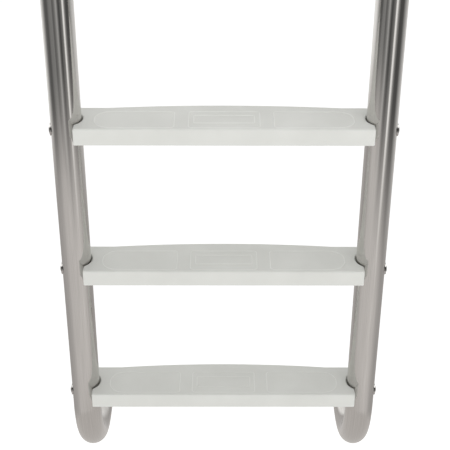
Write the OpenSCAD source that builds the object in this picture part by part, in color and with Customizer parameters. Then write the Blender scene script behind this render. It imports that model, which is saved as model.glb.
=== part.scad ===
// In-ground pool ladder: two bent stainless rails, three moulded treads bolted between them,
// rubber wall bumpers on the feet and a loose escutcheon on each deck leg.
//
// Frame: X across the ladder, +Y from the pool towards the deck, +Z up.
// Origin: midway between the two deck legs, in the plane of the deck's surface.
// All sizes are millimetres.

/* [Rails] */
// Outside diameter of the rail tube
tube_od = 48.26; // [42:0.01:60]
// Wall thickness of the rail tube
tube_wall = 1.65; // [1.2:0.05:3]
// Distance between the two rails, centre to centre
rail_spacing = 482.6; // [400:0.1:620]
// Centreline radius of every bend
bend_r = 144.8; // [110:0.1:160]
// Distance from the pool legs back to the deck legs, centre to centre
deck_reach = 600; // [480:1:760]
// Height of the top of the handrail above the deck
handrail_height = 711; // [580:1:900]
// Length of each deck leg that goes down into its socket
leg_insert = 100; // [75:1:150]
// Distance from the pool legs' centres to the wall that the bumpers touch
wall_reach = 195; // [180:1:240]

/* [Treads] */
// Drop from the deck to the top of the first tread
first_tread_drop = 254; // [200:1:305]
// Rise between one tread and the next
tread_rise = 254; // [200:1:305]
// Drop from the top of the bottom tread to the start of the foot bend
foot_drop = 48; // [40:1:120]
// Front to back depth of a tread at its ends
tread_depth = 78; // [68:0.1:110]
// How far the middle of the rear edge stands out past its ends
tread_crown = 9; // [3:0.5:14]
// Straight part of the rear edge at each end
crown_inset = 46.5; // [30:0.5:90]
// Height of the front and rear aprons
apron_height = 27.1; // [22:0.1:40]
// Thickness of the tread's top
tread_top = 3.6; // [3:0.1:6]
// Thickness of the tread's aprons and end walls
tread_wall = 3.2; // [2.4:0.1:5]
// Distance from each rail's centre to the flat end of the tread
end_inset = 13.8; // [10:0.1:18]
// Gap that shows around each rail at the tread's top
notch_gap = 1.5; // [0.5:0.05:6]
// Radius of the tread's corners in plan
corner_r = 2.5; // [1:0.5:10]
// Radius of the tread's long top edges
edge_r = 2.5; // [1:0.1:3]
// Depth at which the seat that touches the rail begins
seat_drop = 8; // [5:0.5:12]
// Width of the block that takes the bolt
boss_width = 30; // [24:0.5:40]
// Depth of the bolt block and its seat below the tread's top
boss_depth = 31; // [29:0.5:40]
// Thickness of the ribs under the tread
rib_t = 2.6; // [2:0.1:4]
// Height of the ribs under the tread
rib_height = 19; // [10:0.5:21]
// Spacing of the cross ribs
rib_pitch = 60; // [40:1:90]
// Height of the raised lines on the tread's top
line_height = 0.6; // [0.3:0.1:1.2]
// Width of the raised lines on the tread's top
line_width = 1.6; // [1:0.1:3]

/* [Tread Panels] */
// Width of the bare gap on each side of the middle panel
panel_gap = 20; // [10:1:30]
// Half width of the middle panel
middle_half = 55; // [40:1:70]
// Step from each end of the middle panel to the bare plate inside it
plate_end = 8; // [6:0.5:11]
// Step from the middle panel's front to the bare plate
plate_front = 16; // [6:0.5:20]
// Step from the middle panel's rear to the bare plate
plate_rear = 13; // [6:0.5:20]
// Bare margin in front of the panels
panel_front = 6; // [4:0.1:10]
// Bare margin behind the panels
panel_rear = 15; // [4:0.1:16]
// Bare margin between a grip panel and the tread's end
panel_end = 29; // [28:0.5:40]
// Radius of the grip panels' outer corners
panel_outer_r = 25; // [10:1:30]
// Radius of the panels' other corners
panel_inner_r = 6; // [3:0.5:12]
// Radius of the bare plate's corners
plate_r = 3; // [2:0.5:6]

/* [Fasteners] */
// Depth of the bolts' axes below the tread's top
bolt_drop = 18.5; // [17:0.1:21]
// Diameter of the tread bolts
bolt_d = 7.94; // [6:0.01:8]
// Length of the tread bolts under the head
bolt_length = 76.2; // [70:0.1:85]
// Diameter of the bolt head
head_d = 15.5; // [13:0.1:18]
// Height of the bolt head
head_height = 2.6; // [2:0.1:4]
// Width across the flats of the bolt's socket
socket_af = 4.8; // [3:0.1:6]
// Depth of the bolt's socket
socket_depth = 1.8; // [1:0.1:2]
// Diameter of the saddle washer
washer_d = 20; // [18:0.5:24]
// Thickness of the saddle washer over the crown of the tube
washer_t = 1; // [0.8:0.1:2]
// Width across the flats of the nut
nut_af = 12.7; // [11:0.1:14]
// Height of the nut
nut_height = 8; // [6:0.1:9]
// Length of bolt that shows past the nut
thread_past = 2; // [1:0.5:4]

/* [Bumpers] */
// Height of the bumper's rim above the tube
bumper_lip = 0.5; // [0:0.1:3]
// Thickness of the bumper past the end of the tube
bumper_end = 12; // [8:1:20]
// Length of the bumper's plug inside the tube
bumper_plug = 26; // [16:1:36]
// Depth of the grooves around the plug
bumper_groove = 1; // [0.5:0.1:2]
// Radius of the bumper's outer edge
bumper_round = 7; // [3:0.5:9]

/* [Escutcheons] */
// Outside diameter of the escutcheon
escutcheon_d = 127; // [100:1:150]
// Height of the escutcheon's dome
dome_height = 22; // [15:1:30]
// Sheet thickness of the escutcheon
sheet_t = 1.2; // [0.8:0.1:2]
// Height of the collar above the dome
collar_height = 4; // [2:0.5:8]

/* [Clearances] */
// Radial gap between the escutcheon's collar and the tube
escutcheon_gap = 0.77; // [0.7:0.01:0.9]
// Gap between pieces that are fixed against each other
seat_gap = 0.05; // [0.02:0.01:0.1]
// Radial gap around each bolt where it passes through the tube and the tread
bolt_gap = 0.4; // [0.2:0.05:0.6]
// Gap around the nut in its pocket
nut_gap = 0.15; // [0.1:0.05:0.3]

/* [Hidden] */
$fn = 96;

TOP = 0;
MIDDLE = 1;
BOTTOM = 2;
LEFT = -1;
RIGHT = 1;
BEFORE = -1;
PAST = 0;

// The handrail falls 3 for every 4 that it runs, so its sine and cosine are whole tenths
SLOPE_FALL = 3;
SLOPE_RUN = 4;
handrail_slope = atan(SLOPE_FALL / SLOPE_RUN);

tube_r = tube_od / 2;
// Start of the top bend, start of the deck bend and start of the foot bend
pool_bend_z = handrail_height - tube_r - bend_r;
bend_gap = deck_reach - 2 * bend_r;
deck_bend_z = pool_bend_z - bend_gap * SLOPE_FALL / SLOPE_RUN;
foot_bend_z = -first_tread_drop - BOTTOM * tread_rise - foot_drop;
foot_z = foot_bend_z - bend_r;
stub_length = wall_reach - bumper_end - bend_r;

tread_length = rail_spacing - 2 * end_inset;
half_depth = tread_depth / 2;
crown_half = tread_length / 2 - crown_inset;
crown_r = (pow(crown_half, 2) + pow(tread_crown, 2)) / (2 * tread_crown);
notch_r = tube_r + notch_gap;
seat_r = tube_r + seat_gap;

// Stations along a bolt, measured from the rail's centre: positive is outwards
head_face = seat_r + washer_t;
bolt_tip = head_face - bolt_length;
nut_out = bolt_tip + thread_past + nut_height;
boss_in = bolt_tip - 5;
bolt_r = bolt_d / 2;
hole_r = bolt_r + bolt_gap;
// Small overlap that joins two solids of one piece
weld = 0.5;

// ---- shared shapes ----

// Material outside a quarter circle in the corner of a square
module corner_waste(r) {
    difference() {
        translate([-weld, -weld]) square(r + weld);
        translate([r, r]) circle(r);
    }
}

// Rectangle from low to high, with one radius at its left corners and another at its right ones
module panel(low, high, left_r, right_r) {
    difference() {
        translate(low) square(high - low);
        translate(low) corner_waste(left_r);
        translate([low.x, high.y]) mirror([0, 1]) corner_waste(left_r);
        translate([high.x, low.y]) mirror([1, 0]) corner_waste(right_r);
        translate(high) mirror([1, 0]) mirror([0, 1]) corner_waste(right_r);
    }
}

// Raised line around a panel
module panel_line(low, high, left_r, right_r) {
    inset = [line_width, line_width];
    linear_extrude(weld + line_height)
        difference() {
            panel(low, high, left_r, right_r);
            panel(low + inset, high - inset, left_r - line_width, right_r - line_width);
        }
}

// Turns a shape that stands along +Z so that it lies along +X
module along_x() {
    rotate([0, 90, 0]) children();
}

// Places a shape at a tread's level, in the plane of the pool legs
module at_tread(level) {
    translate([0, -deck_reach, -first_tread_drop - level * tread_rise]) children();
}

// Places a shape on a bolt's axis, with the rail's centre at 0 and +X outwards
module at_bolt(level, side) {
    at_tread(level)
        mirror([side == LEFT ? 1 : 0, 0, 0])
            translate([rail_spacing / 2, 0, -bolt_drop]) children();
}

// ---- rails ----

module tube_ring() {
    difference() {
        circle(tube_r);
        circle(tube_r - tube_wall);
    }
}

// Bend about a centre in the rail's plane, from one angle through a sweep, both from +Y towards +Z
module tube_bend(y, z, start, sweep) {
    translate([0, y, z])
        rotate([90, 0, 90])
            rotate_extrude(angle = sweep, start = start)
                translate([bend_r, 0]) tube_ring();
}

// Turns about a bend's centre so that +Z runs down the handrail and -Y points at it
module down_slope(y, z) {
    translate([0, y, z]) rotate([-90 - handrail_slope, 0, 0]) children();
}

// Block on one side of the plane through a bend's centre and square to the handrail
module slope_block(y, z, side) {
    down_slope(y, z)
        translate([-tube_od, -2 * bend_r, side * 2 * bend_r])
            cube([2 * tube_od, 4 * bend_r, 2 * bend_r]);
}

module rail(side) {
    pool_centre = bend_r - deck_reach;
    color("silver")
        translate([side * rail_spacing / 2, 0, 0])
            difference() {
                union() {
                    // stub that carries the bumper
                    translate([0, pool_centre, foot_z])
                        rotate([-90, 0, 0]) linear_extrude(stub_length) tube_ring();
                    tube_bend(pool_centre, foot_bend_z, 180, 90);
                    // pool leg
                    translate([0, -deck_reach, foot_bend_z])
                        linear_extrude(pool_bend_z - foot_bend_z) tube_ring();
                    difference() {
                        tube_bend(pool_centre, pool_bend_z, 0, 180);
                        slope_block(pool_centre, pool_bend_z, PAST);
                    }
                    // sloping handrail
                    down_slope(pool_centre, pool_bend_z)
                        translate([0, -bend_r, 0])
                            linear_extrude(bend_gap / cos(handrail_slope)) tube_ring();
                    difference() {
                        tube_bend(-bend_r, deck_bend_z, 0, 180);
                        slope_block(-bend_r, deck_bend_z, BEFORE);
                    }
                    // deck leg
                    translate([0, 0, -leg_insert])
                        linear_extrude(deck_bend_z + leg_insert) tube_ring();
                }
                for (level = [TOP : BOTTOM])
                    translate([0, -deck_reach,
                               -first_tread_drop - level * tread_rise - bolt_drop])
                        along_x() cylinder(h = 2 * tube_od, r = hole_r, center = true);
            }
}

module left_rail() {
    rail(LEFT);
}

module right_rail() {
    rail(RIGHT);
}

// ---- treads ----

// Outline of a tread, drawn in from its edges by an inset
module tread_plan(inset = 0) {
    corner = max(corner_r - inset, weld);
    low = [inset - tread_length / 2, inset - half_depth];
    panel(low, -low, corner, corner);
    intersection() {
        translate([0, half_depth + tread_crown - crown_r]) circle(crown_r - inset, $fn = 720);
        translate([-crown_half, 0]) square([2 * crown_half, tread_depth]);
    }
}

// Something at both rails' centres
module at_rails() {
    for (side = [LEFT, RIGHT])
        translate([side * rail_spacing / 2, 0]) children();
}

// Cutter that rounds a straight top edge lying along X at y = 0, with the tread at y < 0
module edge_waste(length) {
    translate([-length / 2, 0, 0])
        rotate([90, 0, 90])
            linear_extrude(length) mirror([1, 0]) mirror([0, 1]) corner_waste(edge_r);
}

module tread_edges() {
    rear_straight = crown_inset + weld;
    translate([0, -half_depth, 0]) mirror([0, 1, 0]) edge_waste(tread_length + 2 * weld);
    for (side = [LEFT, RIGHT])
        translate([side * (tread_length / 2 - crown_inset + rear_straight / 2), half_depth, 0])
            edge_waste(rear_straight);
    // crowned part of the rear edge
    sweep = 2 * asin(crown_half / crown_r);
    translate([0, half_depth + tread_crown - crown_r, 0])
        rotate([0, 0, 90 - sweep / 2])
            rotate_extrude(angle = sweep)
                translate([crown_r, 0]) mirror([1, 0]) mirror([0, 1]) corner_waste(edge_r);
}

// Ribs under the top: cross ribs at a regular pitch and one long rib
module tread_ribs() {
    across = floor((tread_length / 2 + boss_in - end_inset) / rib_pitch);
    intersection() {
        translate([0, 0, -tread_top - rib_height])
            linear_extrude(rib_height + weld) tread_plan(tread_wall / 2);
        union() {
            for (i = [-across : across])
                translate([i * rib_pitch - rib_t / 2, -tread_depth, -apron_height])
                    cube([rib_t, 2 * tread_depth, apron_height]);
            translate([-rail_spacing / 2 - boss_in, -rib_t / 2, -apron_height])
                cube([rail_spacing + 2 * boss_in, rib_t, apron_height]);
        }
    }
}

// Seat that wraps the inner side of each rail, and the block behind it that takes bolt and nut
module bolt_block() {
    seat_outer = notch_r + tread_wall;
    intersection() {
        union() {
            cylinder(h = boss_depth - seat_drop, r = seat_outer);
            translate([boss_in, -boss_width / 2, 0])
                cube([-boss_in, boss_width, boss_depth - tread_top + weld]);
        }
        translate([boss_in, -tread_depth / 2, 0])
            cube([-boss_in - end_inset, tread_depth, boss_depth]);
    }
}

// Pocket that the nut drops into from below
module nut_pocket() {
    wide = nut_af + 2 * nut_gap;
    translate([nut_out - nut_height - nut_gap, 0, 0]) {
        along_x() cylinder(h = nut_height + 2 * nut_gap, r = wide / 2 / cos(30), $fn = 6);
        translate([0, -wide / 2, -boss_depth])
            cube([nut_height + 2 * nut_gap, wide, boss_depth]);
    }
}

// Raised lines: a grip panel at each end and a framed panel in the middle
module tread_lines() {
    front = panel_front - half_depth;
    rear = half_depth - panel_rear;
    plate_low = [plate_end - middle_half, front + plate_front];
    plate_high = [middle_half - plate_end, rear - plate_rear];
    translate([0, 0, -weld]) {
        for (side = [LEFT, RIGHT])
            mirror([side == LEFT ? 1 : 0, 0, 0])
                panel_line([middle_half + panel_gap, front], [tread_length / 2 - panel_end, rear],
                    panel_inner_r, panel_outer_r);
        panel_line([-middle_half, front], [middle_half, rear], panel_inner_r, panel_inner_r);
        panel_line(plate_low, plate_high, plate_r, plate_r);
    }
}

module tread() {
    color("gainsboro") {
        difference() {
            union() {
                difference() {
                    translate([0, 0, -apron_height]) linear_extrude(apron_height) tread_plan();
                    // hollow underside, closed around each rail's notch
                    translate([0, 0, -apron_height - weld])
                        linear_extrude(apron_height + weld - tread_top)
                            difference() {
                                tread_plan(tread_wall);
                                at_rails() circle(notch_r + tread_wall);
                            }
                    tread_edges();
                    at_rails() translate([0, 0, -apron_height - weld])
                        cylinder(h = apron_height + 2 * weld, r = notch_r);
                }
                tread_ribs();
                tread_lines();
                for (side = [LEFT, RIGHT])
                    mirror([side == LEFT ? 1 : 0, 0, 0])
                        translate([rail_spacing / 2, 0, -boss_depth]) bolt_block();
            }
            at_rails() translate([0, 0, -boss_depth - weld])
                cylinder(h = boss_depth + weld - tread_top, r = seat_r);
            at_rails() translate([0, 0, -seat_drop])
                cylinder(h = seat_drop + weld + line_height, r = notch_r);
            for (side = [LEFT, RIGHT])
                mirror([side == LEFT ? 1 : 0, 0, 0])
                    translate([rail_spacing / 2, 0, -bolt_drop]) {
                        nut_pocket();
                        translate([boss_in - weld, 0, 0])
                            along_x() cylinder(h = -boss_in, r = hole_r);
                    }
        }
    }
}

module top_tread() {
    at_tread(TOP) tread();
}

module middle_tread() {
    at_tread(MIDDLE) tread();
}

module bottom_tread() {
    at_tread(BOTTOM) tread();
}

// ---- fasteners ----

// Low domed head with a hex socket, and a plain shank
module bolt(level, side) {
    dome_r = (pow(head_d / 2, 2) + pow(head_height, 2)) / (2 * head_height);
    color("darkgray")
        at_bolt(level, side)
            translate([head_face, 0, 0]) along_x() {
                difference() {
                    rotate_extrude()
                        intersection() {
                            translate([0, head_height - dome_r]) circle(dome_r);
                            square([head_d / 2, head_height]);
                        }
                    translate([0, 0, head_height - socket_depth])
                        cylinder(h = socket_depth + weld, r = socket_af / 2 / cos(30), $fn = 6);
                }
                translate([0, 0, -bolt_length]) cylinder(h = bolt_length + weld / 2, r = bolt_r);
            }
}

// Washer with a hollow underside that sits on the round of the tube
module washer(level, side) {
    color("darkgray")
        at_bolt(level, side)
            difference() {
                along_x() cylinder(h = head_face, r = washer_d / 2);
                translate([0, 0, -washer_d]) cylinder(h = 2 * washer_d, r = seat_r);
                along_x() cylinder(h = 2 * head_face, r = hole_r);
            }
}

module nut(level, side) {
    color("darkgray")
        at_bolt(level, side)
            translate([nut_out - nut_height, 0, 0]) along_x()
                difference() {
                    cylinder(h = nut_height, r = nut_af / 2 / cos(30), $fn = 6);
                    translate([0, 0, -weld])
                        cylinder(h = nut_height + 2 * weld, r = bolt_r + seat_gap);
                }
}

// ---- bumpers ----

// Rubber cap on the tube's end, held by a grooved plug inside it
module bumper(side) {
    cap_r = tube_r + bumper_lip;
    plug_r = tube_r - tube_wall - seat_gap;
    pitch = bumper_plug / 5;
    color("dimgray")
        translate([side * rail_spacing / 2, wall_reach - deck_reach - bumper_end, foot_z])
            rotate([-90, 0, 0])
                rotate_extrude()
                    difference() {
                        union() {
                            square([cap_r, bumper_end]);
                            translate([0, -bumper_plug]) square([plug_r, bumper_plug + weld]);
                        }
                        translate([cap_r, bumper_end]) mirror([1, 0]) mirror([0, 1])
                            corner_waste(bumper_round);
                        for (i = [0 : 1])
                            translate([plug_r - bumper_groove, (2 * i + 1) * pitch - bumper_plug])
                                square([tube_r, pitch]);
                    }
}

module left_bumper() {
    bumper(LEFT);
}

module right_bumper() {
    bumper(RIGHT);
}

// ---- escutcheons ----

// Shallow domed cover with a short collar, loose on the deck leg and resting on the deck
module escutcheon(side) {
    bore_r = tube_r + escutcheon_gap;
    rim_r = escutcheon_d / 2;
    drop = (pow(rim_r, 2) - pow(bore_r, 2) - pow(dome_height, 2)) / (2 * dome_height);
    dome_r = sqrt(pow(rim_r, 2) + pow(drop, 2));
    color("silver")
        translate([side * rail_spacing / 2, 0, 0])
            rotate_extrude() {
                intersection() {
                    translate([0, -drop])
                        difference() {
                            circle(dome_r);
                            circle(dome_r - sheet_t);
                        }
                    translate([bore_r, 0]) square([rim_r, dome_height]);
                }
                translate([bore_r, dome_height - 2 * sheet_t])
                    square([sheet_t, collar_height + 2 * sheet_t]);
            }
}

module left_escutcheon() {
    escutcheon(LEFT);
}

module right_escutcheon() {
    escutcheon(RIGHT);
}

// ---- nodes ----

left_rail();
right_rail();
top_tread();
middle_tread();
bottom_tread();
bolt(TOP, LEFT);  // top_left_bolt
bolt(TOP, RIGHT);  // top_right_bolt
bolt(MIDDLE, LEFT);  // middle_left_bolt
bolt(MIDDLE, RIGHT);  // middle_right_bolt
bolt(BOTTOM, LEFT);  // bottom_left_bolt
bolt(BOTTOM, RIGHT);  // bottom_right_bolt
washer(TOP, LEFT);  // top_left_washer
washer(TOP, RIGHT);  // top_right_washer
washer(MIDDLE, LEFT);  // middle_left_washer
washer(MIDDLE, RIGHT);  // middle_right_washer
washer(BOTTOM, LEFT);  // bottom_left_washer
washer(BOTTOM, RIGHT);  // bottom_right_washer
nut(TOP, LEFT);  // top_left_nut
nut(TOP, RIGHT);  // top_right_nut
nut(MIDDLE, LEFT);  // middle_left_nut
nut(MIDDLE, RIGHT);  // middle_right_nut
nut(BOTTOM, LEFT);  // bottom_left_nut
nut(BOTTOM, RIGHT);  // bottom_right_nut
left_bumper();
right_bumper();
left_escutcheon();
right_escutcheon();
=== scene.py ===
"""Builds the looks of an in-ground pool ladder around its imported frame.

Two swept stainless rails and three moulded treads are modelled here. The fasteners, the wall
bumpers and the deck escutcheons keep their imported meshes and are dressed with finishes.
Lengths are in metres unless a name ends in _mm or _deg.
"""

from __future__ import annotations

import logging
import math
from dataclasses import dataclass, field
from enum import Enum
from typing import Callable, Iterable, Sequence

import bpy
from mathutils import Matrix, Vector


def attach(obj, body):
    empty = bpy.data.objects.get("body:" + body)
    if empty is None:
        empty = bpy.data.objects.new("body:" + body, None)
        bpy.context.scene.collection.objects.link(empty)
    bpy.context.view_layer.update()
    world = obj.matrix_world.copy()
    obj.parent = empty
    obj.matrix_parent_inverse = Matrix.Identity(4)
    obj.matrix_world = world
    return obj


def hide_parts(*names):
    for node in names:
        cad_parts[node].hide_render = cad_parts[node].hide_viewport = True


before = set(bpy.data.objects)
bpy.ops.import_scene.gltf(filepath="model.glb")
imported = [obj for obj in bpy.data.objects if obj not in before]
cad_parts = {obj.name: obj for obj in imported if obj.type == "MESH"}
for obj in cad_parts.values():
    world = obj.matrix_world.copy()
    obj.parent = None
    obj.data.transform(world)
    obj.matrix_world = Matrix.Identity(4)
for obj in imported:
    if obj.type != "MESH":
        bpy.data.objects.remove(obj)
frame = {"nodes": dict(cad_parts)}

MM = 0.001
SPARE = 1 * MM  # how far a tool runs past the surface that it opens
WHITE = (1, 1, 1, 1)
NOISE_SPAN = (0.3, 0.7)  # noise values that give the darkest and the lightest shade
LOG = logging.getLogger("pool_ladder")

Point = tuple[float, float, float]
Flat = tuple[float, float]
Colour = tuple[float, float, float]


class Side(Enum):
    """Left and right as a bather in the pool sees the ladder."""

    LEFT = -1
    RIGHT = 1

    @property
    def label(self) -> str:
        """The side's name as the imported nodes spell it."""
        return self.name.lower()


class Level(Enum):
    """The three treads, counted down from the deck."""

    TOP = 0
    MIDDLE = 1
    BOTTOM = 2

    @property
    def label(self) -> str:
        """The level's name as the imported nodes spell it."""
        return self.name.lower()


class Slot(Enum):
    """The record's material slots for the pieces that are modelled here."""

    RAIL = "rail_steel"
    TREAD = "tread_plastic"


class Cut(Enum):
    """How a tool solid changes the solid that it is used on."""

    ADD = "UNION"
    REMOVE = "DIFFERENCE"


# ---- driving sizes ----


@dataclass(frozen=True)
class RailSizes:
    """Sizes of one bent tube, as the ladder's construction gives them."""

    radius: float = 24.13 * MM
    wall: float = 1.65 * MM
    half_spacing: float = 241.3 * MM
    bend: float = 144.8 * MM
    reach: float = 600 * MM
    height: float = 711 * MM
    fall: float = 3
    run: float = 4
    insert: float = 100 * MM
    first_drop: float = 254 * MM
    rise: float = 254 * MM
    foot_drop: float = 48 * MM
    stub: float = 38.2 * MM

    @property
    def slope(self) -> float:
        """Angle of the handrail below level, in radians."""
        return math.atan2(self.fall, self.run)

    @property
    def foot_bend_z(self) -> float:
        """Height at which the pool leg starts to bend towards the wall."""
        return -self.first_drop - Level.BOTTOM.value * self.rise - self.foot_drop

    @property
    def pool_bend_z(self) -> float:
        """Height at which the pool leg starts to bend towards the deck."""
        return self.height - self.radius - self.bend

    @property
    def deck_bend_z(self) -> float:
        """Height at which the deck leg becomes straight."""
        return self.pool_bend_z - (self.reach - 2 * self.bend) * self.fall / self.run

    def tread_z(self, level: Level) -> float:
        """Height of a tread's top."""
        return -self.first_drop - level.value * self.rise


@dataclass(frozen=True)
class TreadSizes:
    """Sizes of one moulded tread. Depths run down from its top."""

    half_length: float = 227.5 * MM
    half_depth: float = 39 * MM
    crown: float = 9 * MM
    crown_half: float = 181 * MM
    apron: float = 27.1 * MM
    top: float = 3.6 * MM
    wall: float = 3.2 * MM
    notch: float = 25.63 * MM
    seat: float = 24.18 * MM
    seat_drop: float = 8 * MM
    corner: float = 2.5 * MM
    tip: float = 1.2 * MM
    least: float = 0.3 * MM
    edge: float = 2.5 * MM
    lower_edge: float = 0.8 * MM
    boss_half: float = 15 * MM
    boss_depth: float = 31 * MM
    boss_back: float = 56.02 * MM
    rib: float = 2.6 * MM
    rib_height: float = 19 * MM
    rib_pitch: float = 60 * MM
    cross_ribs: int = 2
    line_width: float = 1.6 * MM
    line_height: float = 0.6 * MM
    line_root: float = 1.2 * MM
    line_profile: tuple[Flat, ...] = ((1.0, 0.15), (0.75, 0.7), (0.35, 1.0))
    bolt_drop: float = 18.5 * MM
    bore: float = 4.37 * MM
    nut_flats: float = 13 * MM
    nut_near: float = 41.17 * MM
    nut_far: float = 48.87 * MM
    nut_near_gap: float = 0.15 * MM
    nut_far_gap: float = 0.3 * MM

    @property
    def crown_radius(self) -> float:
        """Radius of the rear edge's crown."""
        return (self.crown_half**2 + self.crown**2) / (2 * self.crown)


@dataclass(frozen=True)
class TreadSteps:
    """Number of chords in each round stretch of a tread."""

    edge: int = 8
    lower_edge: int = 3
    corner: int = 8
    tip: int = 8
    notch: int = 40
    crown: int = 72
    hole: int = 120
    seat: int = 48
    bore: int = 32
    line: int = 14


@dataclass(frozen=True)
class PanelSizes:
    """Outline of one raised line on a tread's top."""

    low: Flat
    high: Flat
    low_x_radius: float
    high_x_radius: float


GRIP_PANEL = PanelSizes((75 * MM, -33 * MM), (198.5 * MM, 24 * MM), 6 * MM, 25 * MM)
MIDDLE_PANEL = PanelSizes((-55 * MM, -33 * MM), (55 * MM, 24 * MM), 6 * MM, 6 * MM)
PLATE_PANEL = PanelSizes((-47 * MM, -17 * MM), (47 * MM, 11 * MM), 3 * MM, 3 * MM)


# ---- mesh work ----


def arc(centre: Flat, radius: float, start_deg: float, end_deg: float, steps: int) -> list[Flat]:
    """Points along an arc, both ends included.

    Args:
        centre: Centre of the arc.
        radius: Radius of the arc.
        start_deg: Direction of the first point, counted from +X.
        end_deg: Direction of the last point.
        steps: Number of chords.

    Returns:
        The points in order.
    """
    turn = math.radians(end_deg - start_deg) / steps
    first = math.radians(start_deg)
    return [
        (centre[0] + radius * math.cos(first + i * turn), centre[1] + radius * math.sin(first + i * turn))
        for i in range(steps + 1)
    ]


@dataclass
class Draft:
    """Points and faces of a solid while it is being made."""

    points: list[Point] = field(default_factory=list)
    faces: list[tuple[int, ...]] = field(default_factory=list)

    def ring(self, points: Iterable[Point]) -> list[int]:
        """Adds points and returns their places in the list.

        Args:
            points: The points to add.

        Returns:
            One index for each point.
        """
        first = len(self.points)
        self.points.extend(points)
        return list(range(first, len(self.points)))

    def skin(self, lower: Sequence[int], upper: Sequence[int]) -> None:
        """Joins two closed rings of equal length with four-sided faces.

        Args:
            lower: First ring, anticlockwise as seen from outside its end.
            upper: Second ring, in the same order.
        """
        count = len(lower)
        for i in range(count):
            after = (i + 1) % count
            self.faces.append((lower[i], lower[after], upper[after], upper[i]))

    def prism(self, outline: Sequence[Flat], place: Callable[[float, float, float], Point],
              low: float, high: float) -> None:
        """Adds a closed prism.

        Args:
            outline: Its anticlockwise outline.
            place: Turns outline coordinates and a height into a point.
            low: Height of the first end.
            high: Height of the second end.
        """
        bottom = self.ring(place(x, y, low) for x, y in outline)
        top = self.ring(place(x, y, high) for x, y in outline)
        self.skin(bottom, top)
        self.faces.append(tuple(reversed(bottom)))
        self.faces.append(tuple(top))

    def mesh(self, name: str) -> bpy.types.Mesh:
        """The draft as a mesh with outward faces.

        Args:
            name: Name of the mesh.

        Returns:
            The new mesh.
        """
        made = bpy.data.meshes.new(name)
        made.from_pydata(self.points, [], self.faces)
        made.validate()
        return made


def upright(x: float, y: float, z: float) -> Point:
    """Places an outline flat in plan."""
    return (x, y, z)


def along_x(y: float, z: float, x: float) -> Point:
    """Places an outline in the Y-Z plane, so that its prism runs along X."""
    return (x, y, z)


def box_outline(low: Flat, high: Flat) -> list[Flat]:
    """Corners of a rectangle, anticlockwise."""
    return [low, (high[0], low[1]), high, (low[0], high[1])]


def stand(name: str, mesh: bpy.types.Mesh) -> bpy.types.Object:
    """Puts a mesh in the scene as an object.

    Args:
        name: Name of the object.
        mesh: Its mesh.

    Returns:
        The new object.
    """
    placed = bpy.data.objects.new(name, mesh)
    bpy.context.scene.collection.objects.link(placed)
    return placed


def carve(body: bpy.types.Object, tool: Draft, cut: Cut) -> None:
    """Adds a tool solid to a body or removes it, and keeps the result as the body's mesh.

    Args:
        body: The solid that changes.
        tool: One or more separate closed solids.
        cut: Whether the tool is added or removed.
    """
    helper = stand("tool", tool.mesh("tool"))
    step = body.modifiers.new("carve", "BOOLEAN")
    step.operation = cut.value
    step.solver = "MANIFOLD"
    step.object = helper
    graph = bpy.context.evaluated_depsgraph_get()
    result = bpy.data.meshes.new_from_object(body.evaluated_get(graph))
    body.modifiers.clear()
    body.data = result
    bpy.data.objects.remove(helper)


def smooth(mesh: bpy.types.Mesh, sharp_deg: float) -> None:
    """Shades a mesh smooth and keeps edges sharp past an angle."""
    mesh.shade_smooth()
    mesh.set_sharp_from_angle(angle=math.radians(sharp_deg))


# ---- finishes ----


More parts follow.
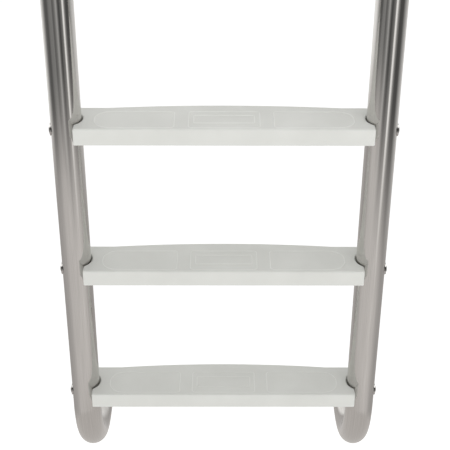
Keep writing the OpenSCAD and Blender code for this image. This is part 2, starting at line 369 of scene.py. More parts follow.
class Nodes:
    """A node tree, with short ways to add to it."""

    def __init__(self, tree: bpy.types.NodeTree) -> None:
        """Takes on the tree of a material or of a world."""
        self.tree = tree

    def add(self, kind: str, **settings: object) -> bpy.types.Node:
        """Adds a node.

        Args:
            kind: The node's type, without its ShaderNode prefix.
            **settings: Properties of the node.

        Returns:
            The new node.
        """
        node = self.tree.nodes.new(f"ShaderNode{kind}")
        for key, value in settings.items():
            setattr(node, key, value)
        return node

    def feed(self, socket: bpy.types.NodeSocket, value: object) -> None:
        """Links a socket to another one, or sets it to a constant.

        Args:
            socket: The socket that is fed.
            value: Another socket, or a number or colour.
        """
        if isinstance(value, bpy.types.NodeSocket):
            self.tree.links.new(value, socket)
        else:
            socket.default_value = value

    def math(self, operation: str, first: object, second: object = 0.0,
             third: object = 0.0) -> bpy.types.NodeSocket:
        """One step of arithmetic.

        Args:
            operation: The Math node's operation.
            first: A number or socket.
            second: A number or socket.
            third: A number or socket, for an operation on three values.

        Returns:
            The result's socket.
        """
        node = self.add("Math", operation=operation)
        for place, value in enumerate((first, second, third)):
            self.feed(node.inputs[place], value)
        return node.outputs[0]

    def fade(self, value: object, start: float, end: float, low: float,
             high: float) -> bpy.types.NodeSocket:
        """A smooth step from low to high as a value goes from start to end.

        Args:
            value: The number or socket that drives it.
            start: Where the step begins.
            end: Where the step ends.
            low: Result before the step.
            high: Result after the step.

        Returns:
            The result's socket.
        """
        node = self.add("MapRange", interpolation_type="SMOOTHSTEP")
        for key, item in zip(("Value", "From Min", "From Max", "To Min", "To Max"),
                             (value, start, end, low, high), strict=True):
            self.feed(node.inputs[key], item)
        return node.outputs["Result"]

    def noise(self, vector: bpy.types.NodeSocket, scale: float, detail: float) -> bpy.types.NodeSocket:
        """Value of a noise texture, near 0.5 on average.

        Args:
            vector: Coordinates.
            scale: Number of features in a unit of length.
            detail: Number of finer layers.

        Returns:
            The noise value's socket.
        """
        node = self.add("TexNoise")
        for key, item in (("Vector", vector), ("Scale", scale), ("Detail", detail)):
            self.feed(node.inputs[key], item)
        return node.outputs[0]

    def stretched(self, vector: bpy.types.NodeSocket, scale: Point) -> bpy.types.NodeSocket:
        """Coordinates scaled by a different amount along each axis.

        Args:
            vector: Coordinates.
            scale: Factor for each axis.

        Returns:
            The new coordinates' socket.
        """
        node = self.add("Mapping")
        self.feed(node.inputs["Vector"], vector)
        self.feed(node.inputs["Scale"], scale)
        return node.outputs[0]

    def blend(self, factor: object, first: object, second: object) -> bpy.types.NodeSocket:
        """A colour between two others.

        Args:
            factor: 0 for the first colour and 1 for the second.
            first: A colour with its alpha, or a socket.
            second: A colour with its alpha, or a socket.

        Returns:
            The blended colour's socket.
        """
        node = self.add("Mix", data_type="RGBA")
        for key, item in (("Factor", factor), (6, first), (7, second)):
            self.feed(node.inputs[key], item)
        return node.outputs[2]

    def ramp(self, value: bpy.types.NodeSocket,
             stops: Sequence[tuple[float, Colour]]) -> bpy.types.NodeSocket:
        """A colour that a value picks from a row of stops.

        Args:
            value: The value, from 0 to 1.
            stops: Each stop's place and colour, in order.

        Returns:
            The colour's socket.
        """
        node = self.add("ValToRGB")
        elements = node.color_ramp.elements
        while len(elements) < len(stops):
            elements.new(0.5)
        for element, (place, colour) in zip(elements, stops, strict=True):
            element.position = place
            element.color = (*colour, 1)
        self.feed(node.inputs[0], value)
        return node.outputs[0]

    def shades(self, value: bpy.types.NodeSocket, dark: Colour, light: Colour) -> bpy.types.NodeSocket:
        """A colour between two, as a noise value goes through its usual span."""
        return self.ramp(value, list(zip(NOISE_SPAN, (dark, light), strict=True)))


class Finish(Nodes):
    """The nodes of a new material, which starts as a Principled shader."""

    def __init__(self, name: str) -> None:
        """Starts the material.

        Args:
            name: Name of the material.
        """
        self.material = bpy.data.materials.new(name)
        self.material.use_nodes = True
        super().__init__(self.material.node_tree)
        self.shader = self.tree.nodes["Principled BSDF"]

    def give(self, key: str, value: object) -> None:
        """Feeds one of the shader's inputs."""
        self.feed(self.shader.inputs[key], value)

    def relief(self, height: bpy.types.NodeSocket, depth: float) -> None:
        """Feeds a height to the shader's normal.

        Args:
            height: Height, from 0 to 1.
            depth: What a height of 1 stands for, in metres.
        """
        node = self.add("Bump")
        self.feed(node.inputs["Distance"], depth)
        self.feed(node.inputs["Height"], height)
        self.give("Normal", node.outputs[0])


@dataclass(frozen=True)
class Steel:
    """Polished stainless steel with a fine grain."""

    name: str
    dark: Colour
    light: Colour
    roughness: float
    grain: Point
    grain_depth: float
    by_uv: bool = False
    grain_roughness: float = 0.08
    smudge_scale: float = 9.0
    smudge_span: Flat = (0.4, 0.7)
    smudge_roughness: float = 0.05

    def material(self) -> bpy.types.Material:
        """Builds the finish.

        Returns:
            The new material.
        """
        nodes = Finish(self.name)
        coordinates = nodes.add("TexCoord").outputs["UV" if self.by_uv else "Object"]
        streaks = nodes.noise(nodes.stretched(coordinates, self.grain), 1.0, 3.0)
        smudges = nodes.noise(nodes.add("TexCoord").outputs["Object"], self.smudge_scale, 2.0)
        grained = nodes.math("MULTIPLY_ADD", streaks, self.grain_roughness,
                             self.roughness - self.grain_roughness / 2)
        smudged = nodes.fade(smudges, *self.smudge_span, 0.0, self.smudge_roughness)
        nodes.give("Base Color", nodes.shades(streaks, self.dark, self.light))
        nodes.give("Metallic", 1.0)
        nodes.give("Roughness", nodes.math("ADD", grained, smudged))
        nodes.relief(streaks, self.grain_depth)
        return nodes.material


@dataclass(frozen=True)
class TreadPlastic:
    """Off-white moulded plastic, satin all over and grainy inside the grip panels, with a painted
    highlight on its raised lines.
    """

    name: str
    dark: Colour = (0.745, 0.75, 0.712)
    light: Colour = (0.79, 0.795, 0.758)
    # painted highlight: the raised lines take this lighter colour, fading in over these heights above the
    # top
    painted_highlight: Colour = (0.87, 0.875, 0.842)
    painted_highlight_z: Flat = (0.05 * MM, 0.3 * MM)
    roughness: float = 0.46
    ior: float = 1.49
    cloud_scale: float = 14.0
    cloud_roughness: float = 0.04
    satin_scale: float = 1700.0
    satin_share: float = 0.25
    grip_scale: float = 620.0
    grip_depth: float = 0.22 * MM
    grip_roughness: float = 0.1
    panel: PanelSizes = GRIP_PANEL
    panel_edge: Flat = (-1.5 * MM, -0.6 * MM)

    def panel_mask(self, nodes: Nodes) -> bpy.types.NodeSocket:
        """1 inside the two grip panels and 0 outside.

        Args:
            nodes: The tree to add to.

        Returns:
            The mask's socket.
        """
        panel = self.panel
        axes = nodes.add("SeparateXYZ")
        nodes.feed(axes.inputs[0], nodes.add("TexCoord").outputs["Object"])
        middle = [(a + b) / 2 for a, b in zip(panel.low, panel.high, strict=True)]
        half = [(b - a) / 2 for a, b in zip(panel.low, panel.high, strict=True)]
        across = nodes.math("SUBTRACT", nodes.math("ABSOLUTE", axes.outputs[0]), middle[0])
        along = nodes.math("SUBTRACT", axes.outputs[1], middle[1])
        radius = nodes.math("MULTIPLY_ADD", nodes.math("GREATER_THAN", across, 0.0),
                            panel.high_x_radius - panel.low_x_radius, panel.low_x_radius)
        past = []
        for offset, limit in zip((across, along), half, strict=True):
            distance = nodes.math("SUBTRACT", nodes.math("ABSOLUTE", offset), limit)
            past.append(nodes.math("ADD", distance, radius))
        corner = [nodes.math("POWER", nodes.math("MAXIMUM", item, 0.0), 2.0) for item in past]
        length = nodes.math("SQRT", nodes.math("ADD", *corner))
        inner = nodes.math("MINIMUM", nodes.math("MAXIMUM", *past), 0.0)
        edge = nodes.math("SUBTRACT", nodes.math("ADD", length, inner), radius)
        return nodes.fade(edge, *self.panel_edge, 1.0, 0.0)

    def material(self) -> bpy.types.Material:
        """Builds the finish.

        Returns:
            The new material.
        """
        nodes = Finish(self.name)
        coordinates = nodes.add("TexCoord").outputs["Object"]
        axes = nodes.add("SeparateXYZ")
        nodes.feed(axes.inputs[0], coordinates)
        cloudy = nodes.noise(coordinates, self.cloud_scale, 3.0)
        # painted highlight: above a small height the raised lines blend to a lighter colour that stands in
        # for the light they catch
        highlight_on_line = nodes.fade(axes.outputs[2], *self.painted_highlight_z, 0.0, 1.0)
        flat = nodes.shades(cloudy, self.dark, self.light)
        nodes.give("Base Color", nodes.blend(highlight_on_line, flat, (*self.painted_highlight, 1)))
        nodes.give("IOR", self.ior)
        mask = self.panel_mask(nodes)
        satin = nodes.math("MULTIPLY", nodes.noise(coordinates, self.satin_scale, 1.0), self.satin_share)
        grip = nodes.math("MULTIPLY", nodes.noise(coordinates, self.grip_scale, 2.0), mask)
        nodes.relief(nodes.math("ADD", satin, grip), self.grip_depth)
        worn = nodes.fade(cloudy, *NOISE_SPAN, self.roughness - self.cloud_roughness,
                          self.roughness + self.cloud_roughness)
        nodes.give("Roughness", nodes.math("ADD", nodes.math("MULTIPLY", mask, self.grip_roughness), worn))
        return nodes.material


@dataclass(frozen=True)
class Rubber:
    """Dark moulded rubber with a dull, slightly dusty surface."""

    name: str
    dark: Colour = (0.3, 0.3, 0.295)
    light: Colour = (0.37, 0.37, 0.365)
    roughness: Flat = (0.54, 0.72)
    dust_scale: float = 40.0
    pore_scale: float = 900.0
    pore_depth: float = 0.15 * MM

    def material(self) -> bpy.types.Material:
        """Builds the finish.

        Returns:
            The new material.
        """
        nodes = Finish(self.name)
        coordinates = nodes.add("TexCoord").outputs["Object"]
        dust = nodes.noise(coordinates, self.dust_scale, 4.0)
        nodes.give("Base Color", nodes.shades(dust, self.dark, self.light))
        nodes.give("Roughness", nodes.fade(dust, *NOISE_SPAN, *self.roughness))
        nodes.relief(nodes.noise(coordinates, self.pore_scale, 2.0), self.pore_depth)
        return nodes.material


# ---- sub-assemblies ----


@dataclass
class Rail:
    """One bent tube, from the foot at the pool's wall to the end of its deck leg."""

    side: Side
    sizes: RailSizes = field(default_factory=RailSizes)
    around: int = 96
    bend_step_deg: float = 1.5
    sharp_deg: float = 40.0

    def centreline(self) -> list[tuple[Flat, Flat]]:
        """The tube's path in the plane Y-Z.

        Returns:
            A point and a direction of travel for each ring.
        """
        size = self.sizes
        centre_y = size.bend - size.reach
        slope_deg = math.degrees(size.slope)
        foot = (centre_y, size.foot_bend_z)
        stops = [((centre_y + size.stub, size.foot_bend_z - size.bend), (-1.0, 0.0))]
        for centre, start, end in ((foot, 270.0, 180.0),
                                   ((centre_y, size.pool_bend_z), 180.0, 90 - slope_deg),
                                   ((-size.bend, size.deck_bend_z), 90 - slope_deg, 0.0)):
            steps = round((start - end) / self.bend_step_deg)
            for i, point in enumerate(arc(centre, size.bend, start, end, steps)):
                angle = math.radians(start + (end - start) * i / steps)
                stops.append((point, (math.sin(angle), -math.cos(angle))))
        stops.append(((0.0, -size.insert), (0.0, -1.0)))
        return stops

    def mesh(self) -> bpy.types.Mesh:
        """Sweeps the tube's outer and inner walls along its path.

        Returns:
            The tube's mesh, with its grain's coordinates as its UV map.
        """
        draft = Draft()
        stops = self.centreline()
        walls = []
        for radius in (self.sizes.radius, self.sizes.radius - self.sizes.wall):
            rings = []
            for (y, z), (ahead_y, ahead_z) in stops:
                ring = []
                for j in range(self.around):
                    angle = 2 * math.pi * j / self.around
                    out, up = radius * math.cos(angle), radius * math.sin(angle)
                    ring.append((out, y - up * ahead_z, z + up * ahead_y))
                rings.append(draft.ring(ring))
            walls.append(rings)
        outer, inner = walls
        for i in range(len(stops) - 1):
            draft.skin(outer[i + 1], outer[i])
        for i in range(len(stops) - 1):
            draft.skin(inner[i], inner[i + 1])
        draft.skin(outer[0], inner[0])
        draft.skin(inner[-1], outer[-1])
        made = draft.mesh(f"{self.side.label}_rail_tube")
        self.lay_grain(made, stops)
        smooth(made, self.sharp_deg)
        return made

    def lay_grain(self, mesh: bpy.types.Mesh, stops: Sequence[tuple[Flat, Flat]]) -> None:
        """Writes metres around and along the tube into the mesh's UV map.

        Args:
            mesh: The tube's mesh.
            stops: The path that it was swept along.
        """
        along = [0.0]
        for (here, _), (after, _) in zip(stops, stops[1:], strict=False):
            along.append(along[-1] + math.dist(here, after))
        girth = 2 * math.pi * self.sizes.radius
        count = len(stops)
        layer = mesh.uv_layers.new(name="grain")
        for face in mesh.polygons:
            corners = [(mesh.loops[i].vertex_index % (count * self.around)) for i in face.loop_indices]
            turns = [corner % self.around for corner in corners]
            wraps = max(turns) - min(turns) > self.around / 2
            for i, corner, turn in zip(face.loop_indices, corners, turns, strict=True):
                whole = turn + self.around if wraps and turn < self.around / 2 else turn
                layer.data[i].uv = (girth * whole / self.around, along[corner // self.around])

    def build(self, finish: bpy.types.Material) -> bpy.types.Object:
        """Makes the rail and puts it in its place.

        Args:
            finish: The tube's finish.

        Returns:
            The finished piece.
        """
        piece = stand(f"{self.side.label}_rail_tube", self.mesh())
        piece.location.x = self.side.value * self.sizes.half_spacing
        piece.data.materials.append(finish)
        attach(piece, "ladder")
        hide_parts(f"{self.side.label}_rail")
        return piece


@dataclass
class TreadMould:
    """The shape that the three treads share, with its origin at its top's centre."""

    sizes: TreadSizes = field(default_factory=TreadSizes)
    steps: TreadSteps = field(default_factory=TreadSteps)
    rail_x: float = RailSizes.half_spacing
    sharp_deg: float = 35.0

    def outline(self, inset: float) -> list[Flat]:
        """The tread's edge in plan, drawn in by an inset.

        Args:
            inset: Distance from the real edge.

        Returns:
            The anticlockwise outline.
        """
        size, steps = self.sizes, self.steps
        end = size.half_length - inset
        deep = size.half_depth - inset
        corner = max(size.corner - inset, size.least)
        tip = max(size.tip - inset, size.least)
        notch = size.notch + inset
        across = self.rail_x - end + tip
        tip_y = math.sqrt((notch + tip) ** 2 - across**2)
        lean = math.degrees(math.atan2(tip_y, across))
        right = arc((end - corner, corner - deep), corner, -90, 0, steps.corner)
        right += arc((end - tip, -tip_y), tip, 0, lean, steps.tip)
        right += arc((self.rail_x, 0.0), notch, 180 + lean, 180 - lean, steps.notch)
        right += arc((end - tip, tip_y), tip, -lean, 0, steps.tip)
        right += arc((end - corner, deep - corner), corner, 0, 90, steps.corner)
        radius = size.crown_radius - inset
        half = math.sqrt(2 * radius * size.crown - size.crown**2)
        spread = math.degrees(math.asin(half / radius))
        rear = arc((0.0, deep + size.crown - radius), radius, 90 - spread, 90 + spread,
                   steps.crown)
        left = [(-x, y) for x, y in reversed(right)]
        return right + rear + left

    def rear_at(self, x: float) -> float:
        """How far back the rear edge is at a place along the tread.

        Args:
            x: The place, counted from the tread's middle.

        Returns:
            The rear edge's Y, from the line through the rails.
        """
        size = self.sizes
        radius = size.crown_radius
        bulge = math.sqrt(radius**2 - x**2) - (radius - size.crown)
        return size.half_depth + max(bulge, 0.0)

    def shell(self) -> bpy.types.Object:
        """The outside of the moulding as one solid with rounded edges.

        Returns:
            The solid, still without its hollow.
        """
        size = self.sizes
        below, above = self.steps.lower_edge, self.steps.edge
        levels = []
        for i in range(below + 1):
            turn = math.radians(90 * (below - i) / below)
            levels.append((size.lower_edge * (1 - math.cos(turn)),
                           -size.apron + size.lower_edge * (1 - math.sin(turn))))
        for i in range(above + 1):
            turn = math.radians(90 * i / above)
            levels.append((size.edge * (1 - math.cos(turn)), size.edge * (math.sin(turn) - 1)))
        draft = Draft()
        rings = [draft.ring((x, y, z) for x, y in self.outline(inset)) for inset, z in levels]
        for lower, upper in zip(rings, rings[1:], strict=False):
            draft.skin(lower, upper)
        draft.faces.append(tuple(reversed(rings[0])))
        draft.faces.append(tuple(rings[-1]))
        return stand("tread_mould", draft.mesh("tread_mould"))

    def hollow(self) -> Draft:
        """The space under the top, inside the aprons.

        Returns:
            The tool.
        """
        size = self.sizes
        draft = Draft()
        draft.prism(self.outline(size.wall), upright, -size.apron - SPARE, -size.top)
        return draft

    def cross_ribs(self) -> Draft:
        """The ribs that run from front to back.

        Returns:
            The tool.
        """
        size = self.sizes
        draft = Draft()
        for i in range(-size.cross_ribs, size.cross_ribs + 1):
            x = i * size.rib_pitch
            outline = box_outline((x - size.rib / 2, size.wall / 2 - size.half_depth),
                                  (x + size.rib / 2, self.rear_at(x) - size.wall / 2))
            draft.prism(outline, upright, -size.top - size.rib_height, -size.top / 2)
        return draft

    def long_rib(self) -> Draft:
        """The rib that runs from one bolt block to the other.

        Returns:
            The tool.
        """
        size = self.sizes
        end = self.rail_x - size.boss_back + SPARE
        draft = Draft()
        draft.prism(box_outline((-end, -size.rib / 2), (end, size.rib / 2)), upright,
                    -size.top - size.rib_height, -size.top / 2)
        return draft

    def blocks(self) -> Draft:
        """The two blocks that take the bolts and nuts.

        Returns:
            The tool.
        """
        size = self.sizes
        draft = Draft()
        for side in Side:
            ends = sorted((side.value * (self.rail_x - size.boss_back), side.value * size.half_length))
            draft.prism(box_outline((ends[0], -size.boss_half), (ends[1], size.boss_half)), upright,
                        -size.boss_depth, -size.top / 2)
        return draft

    def seats(self) -> Draft:
        """The saddles around the rails, cut flat at the tread's ends.

        Returns:
            The tool.
        """
        size = self.sizes
        draft = Draft()
        outer = size.notch + size.wall
        flat = self.rail_x - size.half_length
        lean = math.degrees(math.acos(flat / outer))
        right = arc((self.rail_x, 0.0), outer, 180 - lean, 180 + lean, self.steps.seat)
        for side in Side:
            outline = right if side is Side.RIGHT else [(-x, y) for x, y in reversed(right)]
            draft.prism(outline, upright, -size.boss_depth, -size.seat_drop)
        return draft

    def rail_holes(self, radius: float, low: float, high: float) -> Draft:
        """Round tools at both rails.

        Args:
            radius: Radius of the tools.
            low: Height of their lower ends.
            high: Height of their upper ends.

        Returns:
            The two tools.
        """
        draft = Draft()
        for side in Side:
            outline = arc((side.value * self.rail_x, 0.0), radius, 0, 360,
                          self.steps.hole)[:-1]
            draft.prism(outline, upright, low, high)
        return draft

    def nut_pockets(self) -> Draft:
        """Six-sided pockets that open downwards.

        Returns:
            The tool.
        """
        size = self.sizes
        half = size.nut_flats / 2
        half_side = math.radians(180 / 6)
        shoulder = half * math.tan(half_side) - size.bolt_drop
        peak = half / math.cos(half_side) - size.bolt_drop
        foot = -size.boss_depth - SPARE
        outline = [(-half, foot), (half, foot), (half, shoulder), (0.0, peak), (-half, shoulder)]
        draft = Draft()
        for side in Side:
            ends = sorted(side.value * (self.rail_x - x)
                          for x in (size.nut_near - size.nut_near_gap, size.nut_far + size.nut_far_gap))
            draft.prism(outline, along_x, *ends)
        return draft

    def bolt_bores(self) -> Draft:
        """Round bores for the bolts.

        Returns:
            The tool.
        """
        size = self.sizes
        outline = arc((0.0, -size.bolt_drop), size.bore, 0, 360, self.steps.bore)[:-1]
        draft = Draft()
        for side in Side:
            ends = sorted((side.value * (self.rail_x - size.boss_back - SPARE),
                           side.value * self.rail_x))
            draft.prism(outline, along_x, *ends)
        return draft

    def raised_line(self, draft: Draft, panel: PanelSizes, flip: bool) -> None:
        """Adds a softly rounded line around a panel.

        Args:
            draft: The draft that it is added to.
            panel: The panel that it runs around.
            flip: Whether the panel is mirrored to the other end of the tread.
        """
        size = self.sizes
        half = size.line_width / 2
        flank = [(width * half, height * size.line_height) for width, height in size.line_profile]
        profile = [(-half, -size.line_root), (half, -size.line_root), *flank,
                   *((-offset, z) for offset, z in reversed(flank))]
        sign = -1 if flip else 1
        rings = []
        for offset, z in profile:
            path: list[Flat] = []
            for x, y, radius, start in (
                (panel.high[0], panel.low[1], panel.high_x_radius, -90),
                (panel.high[0], panel.high[1], panel.high_x_radius, 0),
                (panel.low[0], panel.high[1], panel.low_x_radius, 90),
                (panel.low[0], panel.low[1], panel.low_x_radius, 180),
            ):
                inward_x = -radius if x == panel.high[0] else radius
                inward_y = -radius if y == panel.high[1] else radius
                path += arc((x + inward_x, y + inward_y), radius - half + offset, start, start + 90,
                            self.steps.line)
            rings.append([(sign * x, y, z) for x, y in path])
        stations = [list(points) for points in zip(*rings, strict=True)]
        if flip:
            stations.reverse()
        placed = [draft.ring(points) for points in stations]
        for here, after in zip(placed, placed[1:] + placed[:1], strict=True):
            draft.skin(after, here)

    def lines(self) -> Draft:
        """The raised lines of the grip panels and of the middle panel.

        Returns:
            The lines, each a closed solid that reaches into the top.
        """
        draft = Draft()
        self.raised_line(draft, GRIP_PANEL, False)
        self.raised_line(draft, GRIP_PANEL, True)
        self.raised_line(draft, MIDDLE_PANEL, False)
        self.raised_line(draft, PLATE_PANEL, False)
        return draft

    def mesh(self, finish: bpy.types.Material) -> bpy.types.Mesh:
        """Builds the whole moulding.

        Args:
            finish: The plastic's finish.

        Returns:
            The mesh that all three treads use.
        """
        size = self.sizes
        body = self.shell()
        carve(body, self.hollow(), Cut.REMOVE)
        for part in (self.cross_ribs(), self.long_rib(), self.blocks(), self.seats(), self.lines()):
            carve(body, part, Cut.ADD)
        carve(body, self.rail_holes(size.notch, -size.seat_drop, SPARE), Cut.REMOVE)
        carve(body, self.rail_holes(size.seat, -size.boss_depth - SPARE, -size.seat_drop / 2),
              Cut.REMOVE)
        carve(body, self.nut_pockets(), Cut.REMOVE)
        carve(body, self.bolt_bores(), Cut.REMOVE)
        made = body.data
        bpy.data.objects.remove(body)
        made.materials.clear()
        made.materials.append(finish)
        smooth(made, self.sharp_deg)
        return made


@dataclass
class Tread:
    """One tread between the rails."""

    level: Level
    mesh: bpy.types.Mesh
    rails: RailSizes = field(default_factory=RailSizes)

    def build(self) -> bpy.types.Object:
        """Makes the tread and puts it in its place.

        Returns:
            The finished piece.
        """
        piece = stand(f"{self.level.label}_tread_moulding", self.mesh)
        piece.location = (0.0, -self.rails.reach, self.rails.tread_z(self.level))
        even = piece.modifiers.new("even_shading", "WEIGHTED_NORMAL")
        even.keep_sharp = True
        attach(piece, "ladder")
        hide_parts(f"{self.level.label}_tread")
        return piece


@dataclass
class PackedPieces:
    """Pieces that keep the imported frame's meshes and only take a finish."""

    nodes: dict[str, bpy.types.Object]

    def dress(self, names: Sequence[str], finish: bpy.types.Material) -> None:
        """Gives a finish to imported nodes.

        Args:
            names: The nodes to dress.
            finish: Their finish.
        """
        for name in names:
            for slot in self.nodes[name].material_slots:
                slot.material = finish


# ---- stage ----


@dataclass(frozen=True)
class Surround:
    """A round screen that only mirrored rays see, with flags and strip lights painted on it."""

    centre: Flat = (0.0, -RailSizes.reach)
    radius: float = 1.65
    low: float = -2.45
    high: float = 2.2
    busy_z: float = -0.8
    calm_z: float = -1.6
    studio_tint: Colour = (1.0, 0.995, 0.98)
    ground_tint: Colour = (1.0, 0.965, 0.94)
    studio: tuple[Flat, ...] = (
        (-180, 1.0), (-150, 1.05), (-128, 0.97), (-104, 0.45), (-90, 0.14), (-72, 0.12), (-60, 0.25),
        (-42, 0.28), (-34, 0.13), (-22, 0.24), (-10, 0.5), (-2, 0.18), (7, 0.07), (20, 0.17),
        (30, 0.3), (37, 1.35), (43, 0.8), (50, 0.3), (62, 0.09), (84, 0.1), (100, 0.38),
        (126, 0.7), (160, 0.8), (180, 1.0))
    ground: tuple[Flat, ...] = (
        (-180, 0.5), (-160, 0.52), (-142, 0.5), (-124, 0.43), (-98, 0.48), (-76, 0.55), (-55, 0.68),
        (-20, 0.7), (0, 0.7), (34, 0.76), (62, 0.66), (80, 0.52), (98, 0.45), (124, 0.43),
        (142, 0.42), (160, 0.43), (180, 0.5))
    side_calm_z: float = -1.25
    side_turns: Flat = (0.39, 0.53)
    shade_from_z: float = -0.35
    shade_to_z: float = 0.1
    shade: float = 0.26
    foot_z: float = -2.0
    foot: Colour = (0.6, 0.575, 0.555)
    around: int = 96

    def paint(self, nodes: Nodes, stops: Sequence[Flat], tint: Colour,
              turn: bpy.types.NodeSocket) -> bpy.types.NodeSocket:
        """Brightness by bearing, counted from the camera's side.

        Args:
            nodes: The tree to add to.
            stops: Bearings in degrees, each with its brightness.
            tint: Colour that every brightness is multiplied by.
            turn: The bearing as a part of a whole turn, 0.5 towards the camera's side.

        Returns:
            The colour's socket.
        """
        return nodes.ramp(turn, [(bearing_deg / 360 + 0.5, tuple(value * part for part in tint))
                                 for bearing_deg, value in stops])

    def material(self) -> bpy.types.Material:
        """The glowing screen.

        Returns:
            The new material.
        """
        nodes = Finish("surround")
        axes = nodes.add("SeparateXYZ")
        nodes.feed(axes.inputs[0], nodes.add("TexCoord").outputs["Object"])
        x, y, z = axes.outputs
        bearing = nodes.math("ARCTAN2", x, nodes.math("MULTIPLY", y, -1.0))
        turn = nodes.math("MULTIPLY_ADD", bearing, 1 / (2 * math.pi), 0.5)
        calm_z = nodes.fade(turn, *self.side_turns, self.side_calm_z, self.calm_z)
        walls = nodes.blend(nodes.fade(z, calm_z, self.busy_z, 0.0, 1.0),
                            self.paint(nodes, self.ground, self.ground_tint, turn),
                            self.paint(nodes, self.studio, self.studio_tint, turn))
        painted = nodes.blend(nodes.fade(z, self.low, self.foot_z, 0.0, 1.0), (*self.foot, 1), walls)
        glow = nodes.add("Emission")
        nodes.feed(glow.inputs["Color"], painted)
        nodes.feed(glow.inputs["Strength"],
                   nodes.fade(z, self.shade_from_z, self.shade_to_z, 1.0, self.shade))
        nodes.feed(nodes.tree.nodes["Material Output"].inputs["Surface"], glow.outputs[0])
        return nodes.material

    def build(self) -> bpy.types.Object:
        """Stands the screen around the ladder.

        Returns:
            The screen.
        """
        draft = Draft()
        circle = arc((0.0, 0.0), self.radius, 0, 360, self.around)[:-1]
        rings = [draft.ring((x, y, z) for x, y in circle) for z in (self.low, self.high)]
        draft.skin(rings[1], rings[0])
        screen = stand("surround", draft.mesh("surround"))
        screen.location = (*self.centre, 0.0)
        screen.data.materials.append(self.material())
        screen.visible_camera = False
        screen.visible_diffuse = False
        screen.visible_transmission = False
        screen.visible_shadow = False
        return screen


@dataclass(frozen=True)
class Softbox:
    """One rectangular soft light."""

    name: str
    place: Point
    aim: Point
    size: Flat
    power: float

    def build(self) -> bpy.types.Object:
        """Hangs the light.

        Returns:
            The light, which no camera or mirrored ray sees.
        """
        lamp = bpy.data.lights.new(self.name, "AREA")
        lamp.shape = "RECTANGLE"
        lamp.size, lamp.size_y = self.size
        lamp.energy = self.power
        holder = bpy.data.objects.new(self.name, lamp)
        bpy.context.scene.collection.objects.link(holder)
        holder.location = self.place
        ahead = Vector(self.aim) - Vector(self.place)
        holder.rotation_euler = ahead.to_track_quat("-Z", "Y").to_euler()
        holder.visible_glossy = False
        holder.visible_camera = False
        return holder


@dataclass(frozen=True)
class Studio:
    """A pale floor and soft lights."""

    floor_z: float = -1.28
    floor_half: float = 30.0
    floor_colour: Colour = (0.9, 0.9, 0.89)
    floor_roughness: float = 0.9
    floor_glow: float = 0.45
    fill: float = 0.64
    overhead: Colour = (1.9, 1.9, 1.88)
    below: Colour = (0.6, 0.575, 0.555)
    horizon: Flat = (-0.1, 0.2)
    softboxes: tuple[Softbox, ...] = (
        Softbox("front_softbox", (0.05, -1.35, 0.27), (0.0, -0.62, -0.35), (1.5, 0.3), 1.3),
        Softbox("top_softbox", (0.12, -0.5, 1.5), (0.0, -0.6, -0.3), (2.4, 1.0), 7.6))

    def floor(self) -> bpy.types.Object:
        """Lays the pale floor.

        Returns:
            The floor.
        """
        half = self.floor_half
        draft = Draft()
        draft.faces.append(tuple(draft.ring((x, y, self.floor_z)
                                            for x, y in box_outline((-half, -half), (half, half)))))
        plane = stand("floor", draft.mesh("floor"))
        nodes = Finish("pale_floor")
        nodes.give("Base Color", (*self.floor_colour, 1))
        nodes.give("Roughness", self.floor_roughness)
        nodes.give("Emission Color", WHITE)
        nodes.give("Emission Strength", self.floor_glow)
        plane.data.materials.append(nodes.material)
        plane.visible_glossy = False
        return plane

    def surroundings(self) -> None:
        """Sets the world: even white light, and plain surfaces for mirrored rays."""
        world = bpy.data.worlds.new("studio")
        bpy.context.scene.world = world
        world.use_nodes = True
        nodes = Nodes(world.node_tree)
        axes = nodes.add("SeparateXYZ")
        nodes.feed(axes.inputs[0], nodes.add("TexCoord").outputs["Generated"])
        mirrored = nodes.blend(nodes.fade(axes.outputs[2], *self.horizon, 0.0, 1.0),
                               (*self.below, 1), (*self.overhead, 1))
        rays = nodes.add("LightPath")
        even = nodes.blend(rays.outputs["Is Camera Ray"], (self.fill, self.fill, self.fill, 1), WHITE)
        nodes.feed(nodes.tree.nodes["Background"].inputs["Color"],
                   nodes.blend(rays.outputs["Is Glossy Ray"], even, mirrored))

    def build(self) -> None:
        """Sets up floor, surroundings and lights."""
        self.floor()
        Surround().build()
        self.surroundings()
        for softbox in self.softboxes:
            softbox.build()
        bpy.context.scene.view_settings.view_transform = "Standard"


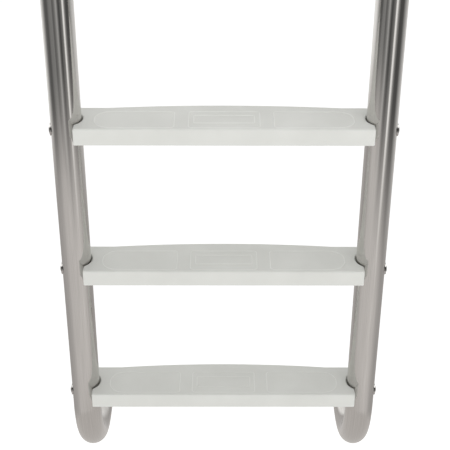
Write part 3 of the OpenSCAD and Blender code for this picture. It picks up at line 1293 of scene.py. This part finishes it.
@dataclass(frozen=True)
class View:
    """The camera, at a bather's height in front of the ladder."""

    place: Point = (-0.00606, -2.16578, 0.49733)
    yaw_deg: float = -0.289
    pitch_deg: float = -31.002
    roll_deg: float = 0.208
    lens_mm: float = 90.758
    sensor_mm: float = 36.0

    def build(self) -> bpy.types.Object:
        """Makes the camera and looks through it.

        Returns:
            The camera.
        """
        data = bpy.data.cameras.new("view")
        data.lens = self.lens_mm
        data.sensor_width = self.sensor_mm
        camera = bpy.data.objects.new("view", data)
        bpy.context.scene.collection.objects.link(camera)
        turn = Matrix.Rotation(math.radians(self.yaw_deg), 4, "Z")
        tilt = Matrix.Rotation(math.radians(90 + self.pitch_deg), 4, "X")
        roll = Matrix.Rotation(math.radians(self.roll_deg), 4, "Z")
        camera.matrix_world = Matrix.Translation(self.place) @ turn @ tilt @ roll
        bpy.context.scene.camera = camera
        return camera


def main() -> None:
    """Builds, dresses and lights the ladder."""
    logging.basicConfig(level=logging.INFO)
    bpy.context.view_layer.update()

    tube_steel = Steel("tube_steel", (0.62, 0.605, 0.585), (0.69, 0.673, 0.653), roughness=0.09,
                       grain=(900.0, 10.0, 900.0), grain_depth=0.006 * MM, by_uv=True)
    fastener_steel = Steel("fastener_steel", (0.52, 0.505, 0.49), (0.62, 0.605, 0.59), roughness=0.2,
                           grain=(300.0, 300.0, 300.0), grain_depth=0.02 * MM)
    sheet_steel = Steel("sheet_steel", (0.62, 0.61, 0.59), (0.7, 0.69, 0.67), roughness=0.12,
                        grain=(60.0, 60.0, 60.0), grain_depth=0.01 * MM)
    rail_finish = tube_steel.material()
    for side in Side:
        rail = Rail(side).build(rail_finish)
        LOG.info("%s has %d faces", rail.name, len(rail.data.polygons))

    tread_finish = TreadPlastic("tread_plastic").material()
    tread_mesh = TreadMould().mesh(tread_finish)
    for level in Level:
        tread = Tread(level, tread_mesh).build()
        LOG.info("%s has %d faces", tread.name, len(tread.data.polygons))

    packed = PackedPieces(frame["nodes"])
    fasteners = [f"{level.label}_{side.label}_{kind}"
                 for kind in ("bolt", "washer", "nut") for level in Level for side in Side]
    packed.dress(fasteners, fastener_steel.material())
    packed.dress([f"{side.label}_bumper" for side in Side], Rubber("bumper_rubber").material())
    packed.dress([f"{side.label}_escutcheon" for side in Side], sheet_steel.material())
    LOG.info("dressed %d packed pieces", len(fasteners) + 2 * len(Side))

    Studio().build()
    View().build()


if __name__ == "__main__":
    main()
